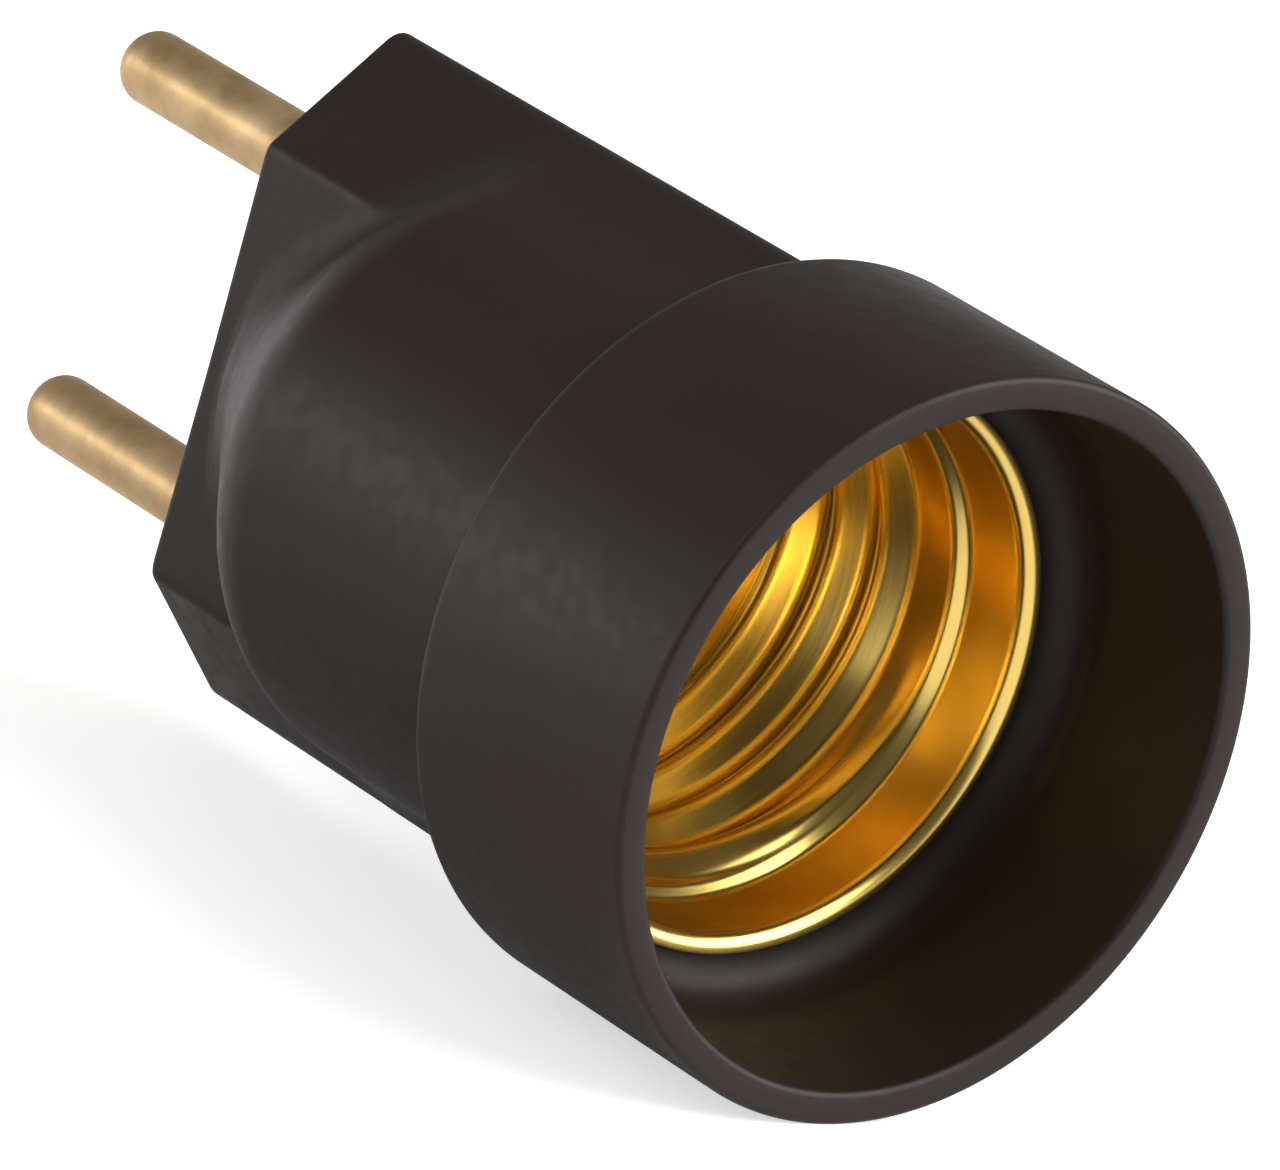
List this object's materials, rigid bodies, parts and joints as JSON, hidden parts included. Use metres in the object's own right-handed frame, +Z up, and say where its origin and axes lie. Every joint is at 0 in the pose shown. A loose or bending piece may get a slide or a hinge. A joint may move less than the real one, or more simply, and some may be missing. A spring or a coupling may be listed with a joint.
{
  "type": "plug in lamp holder",
  "caption": "Lamp holder that plugs into a wall socket: six-sided plug end with round pins, round neck and a wide cup round a recessed screw shell.",
  "frame": {"origin": "middle of the plug's engagement face, the flat face that the two pins stand out of", "axes": "+Y along the pins, from the cup's mouth to the pins' tips; +Z up through both pins; +X to the right seen from the mouth"},
  "size_m": [0.0386, 0.0708, 0.0386],
  "materials": {
    "housing_plastic": "satin moulded",
    "carrier_plastic": "matt moulded",
    "shell_metal": "bright rolled sheet, gold tone",
    "pin_brass": "turned, slightly dull",
    "strip_brass": "rolled strip",
    "rivet_brass": "plain",
    "fastener_steel": "zinc plated"
  },
  "bodies": {
    "root": {"carrier_screw_left": "fastener_steel", "carrier_screw_right": "fastener_steel", "centre_contact": "strip_brass", "centre_rivet": "rivet_brass", "contact_carrier": "carrier_plastic", "housing": "housing_plastic", "lock_washer_lower": "fastener_steel", "lock_washer_upper": "fastener_steel", "pin_lower": "pin_brass", "pin_nut_lower": "fastener_steel", "pin_nut_upper": "fastener_steel", "pin_upper": "pin_brass", "screw_shell": "shell_metal", "shell_rivet_lower": "rivet_brass", "shell_rivet_upper": "rivet_brass", "shell_strap": "strip_brass"}
  },
  "joints": []
}
